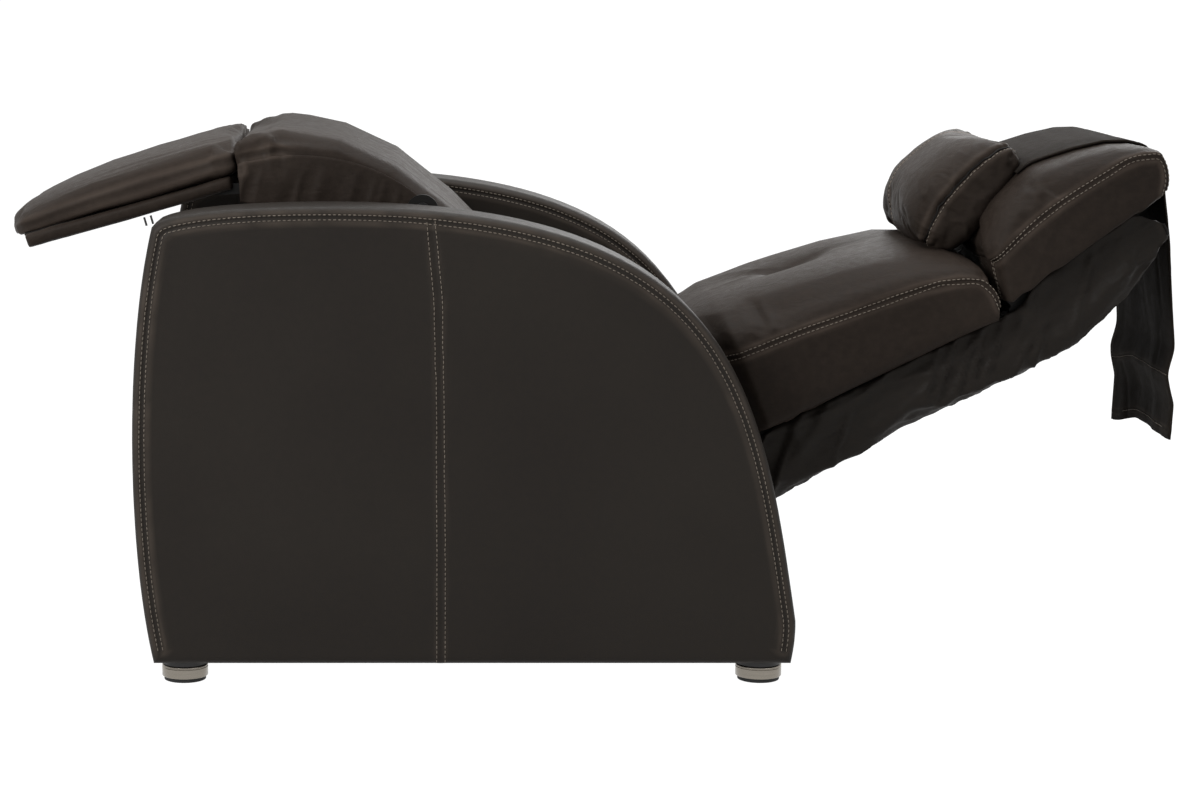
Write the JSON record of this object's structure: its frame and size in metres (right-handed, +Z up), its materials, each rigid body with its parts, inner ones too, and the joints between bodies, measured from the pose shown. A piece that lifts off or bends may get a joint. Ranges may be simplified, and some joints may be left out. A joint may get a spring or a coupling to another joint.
{
  "type": "massage chair",
  "caption": "Reclined leather massage chair: two padded side panels carry a tilting seat, leg rest, reclining back with rollers, and a neck pillow held by a weighted drape.",
  "frame": {"origin": "centre of the bounding box's footprint, on the floor", "axes": "+X towards the head end, +Y towards the sitter's right side, +Z up; stored fully reclined"},
  "size_m": [1.761, 0.765, 0.8109],
  "materials": {
    "panel_leather": "soft grained leather, satin",
    "cushion_leather": "soft grained leather, satin",
    "plywood": "sawn plywood",
    "lining": "dark non-woven cloth over plywood",
    "black_oxide": "blackened steel",
    "nickel": "brushed nickel",
    "black_plastic": "moulded",
    "pad_rubber": "matte",
    "roller_rubber": "matte",
    "bright_steel": "machined",
    "frame_paint": "satin powder coat",
    "bronze": "sintered",
    "box_metal": "satin",
    "box_plastic": "moulded",
    "actuator_metal": "anodised",
    "button_plastic": "moulded"
  },
  "bodies": {
    "base": {"arm_frame_left": "plywood", "arm_frame_right": "plywood", "arm_cover_left": "panel_leather", "arm_cover_right": "panel_leather", "foot_collars": "black_plastic", "foot_rings": "nickel", "foot_pads": "pad_rubber", "foot_studs": "bright_steel", "front_crossbar": "frame_paint", "middle_crossbar": "frame_paint", "rear_crossbar": "frame_paint", "crossbar_bolts": "bright_steel", "pivot_axle_left": "bright_steel", "pivot_axle_right": "bright_steel", "front_panel": "panel_leather", "rear_panel": "panel_leather", "power_supply": "box_metal", "control_box": "box_plastic", "mains_inlet": "black_plastic", "tilt_actuator_body": "actuator_metal", "control_plate": "black_plastic"},
    "seat": {"seat_frame": "frame_paint", "pivot_bushes": "bronze", "seat_deck": "plywood", "seat_cushion": "cushion_leather", "seat_vibrators": "black_plastic", "knee_pins": "black_oxide", "back_hinge_pins": "black_oxide", "leg_actuator_body": "actuator_metal", "back_actuator_body": "actuator_metal"},
    "leg": {"calf_frame": "frame_paint", "calf_board": "lining", "calf_cushion": "cushion_leather", "calf_vibrators": "black_plastic", "foot_hinge_pins": "black_oxide"},
    "foot": {"foot_frame": "frame_paint", "foot_board": "panel_leather", "foot_cushion": "cushion_leather", "zip_tails": "black_plastic"},
    "back": {"back_frame": "frame_paint", "back_cushion": "cushion_leather", "head_board": "lining", "head_cushion": "cushion_leather", "back_cover": "panel_leather", "guide_rods": "bright_steel", "traverse_screw": "bright_steel", "traverse_motor": "black_plastic"},
    "tilt_rod": {"tilt_actuator_rod": "bright_steel"},
    "leg_rod": {"leg_actuator_rod": "bright_steel"},
    "back_rod": {"back_actuator_rod": "bright_steel"},
    "carriage": {"massage_carriage": "black_plastic"},
    "rollers": {"massage_rollers": "roller_rubber"},
    "pillow": {"neck_pillow": "cushion_leather", "pillow_drape": "cushion_leather"},
    "btn_recline": {"button_recline": "button_plastic"},
    "btn_upright": {"button_upright": "button_plastic"},
    "btn_legs_up": {"button_legs_up": "button_plastic"},
    "btn_legs_down": {"button_legs_down": "button_plastic"},
    "btn_massage": {"button_massage": "button_plastic"},
    "btn_heat": {"button_heat": "button_plastic"}
  },
  "joints": [
    {"name": "seat_tilt", "type": "hinge", "parent": "base", "child": "seat", "pos_m": [-0.1, 0, 0.3], "axis": [0, -1, 0], "range_deg": [0, 30]},
    {"name": "leg_rest", "type": "hinge", "parent": "seat", "child": "leg", "pos_m": [-0.262, 0, 0.69], "axis": [0, -1, 0], "range_deg": [0, 16]},
    {"name": "foot_rest", "type": "hinge", "parent": "leg", "child": "foot", "pos_m": [-0.517, 0, 0.722], "axis": [0, -1, 0], "range_deg": [0, 12]},
    {"name": "back_recline", "type": "hinge", "parent": "seat", "child": "back", "pos_m": [0.06, 0, 0.415], "axis": [0, -1, 0], "range_deg": [0, 16]},
    {"name": "tilt_extension", "type": "slide", "parent": "base", "child": "tilt_rod", "axis": [-0.225, 0, -0.9744], "range_m": [0, 0.07247]},
    {"name": "leg_extension", "type": "slide", "parent": "seat", "child": "leg_rod", "axis": [0.5505, 0, -0.8348], "range_m": [0, 0.02227]},
    {"name": "back_extension", "type": "slide", "parent": "seat", "child": "back_rod", "axis": [0.9724, 0, 0.2334], "range_m": [0, 0.02088]},
    {"name": "carriage_travel", "type": "slide", "parent": "back", "child": "carriage", "axis": [0.898, 0, 0.4399], "range_m": [0, 0.26]},
    {"name": "roller_spin", "type": "hinge", "parent": "carriage", "child": "rollers", "pos_m": [0.34581, 0, 0.36349], "axis": [0, 1, 0], "continuous": true},
    {"name": "pillow_slide", "type": "slide", "parent": "back", "child": "pillow", "axis": [0.4226, 0, 0.9063], "range_m": [0, 0.2]},
    {"name": "press_recline", "type": "slide", "parent": "base", "child": "btn_recline", "axis": [0, -1, 0], "range_m": [0, 0.002], "stiffness_N_per_m": 300},
    {"name": "press_upright", "type": "slide", "parent": "base", "child": "btn_upright", "axis": [0, -1, 0], "range_m": [0, 0.002], "stiffness_N_per_m": 300},
    {"name": "press_legs_up", "type": "slide", "parent": "base", "child": "btn_legs_up", "axis": [0, -1, 0], "range_m": [0, 0.002], "stiffness_N_per_m": 300},
    {"name": "press_legs_down", "type": "slide", "parent": "base", "child": "btn_legs_down", "axis": [0, -1, 0], "range_m": [0, 0.002], "stiffness_N_per_m": 300},
    {"name": "press_massage", "type": "slide", "parent": "base", "child": "btn_massage", "axis": [0, -1, 0], "range_m": [0, 0.002], "stiffness_N_per_m": 300},
    {"name": "press_heat", "type": "slide", "parent": "base", "child": "btn_heat", "axis": [0, -1, 0], "range_m": [0, 0.002], "stiffness_N_per_m": 300}
  ],
  "couplings": [
    {"joint": "tilt_extension", "follows": "seat_tilt", "m_per_rad": 0.13841},
    {"joint": "leg_extension", "follows": "leg_rest", "m_per_rad": 0.07974},
    {"joint": "back_extension", "follows": "back_recline", "m_per_rad": 0.074757}
  ]
}
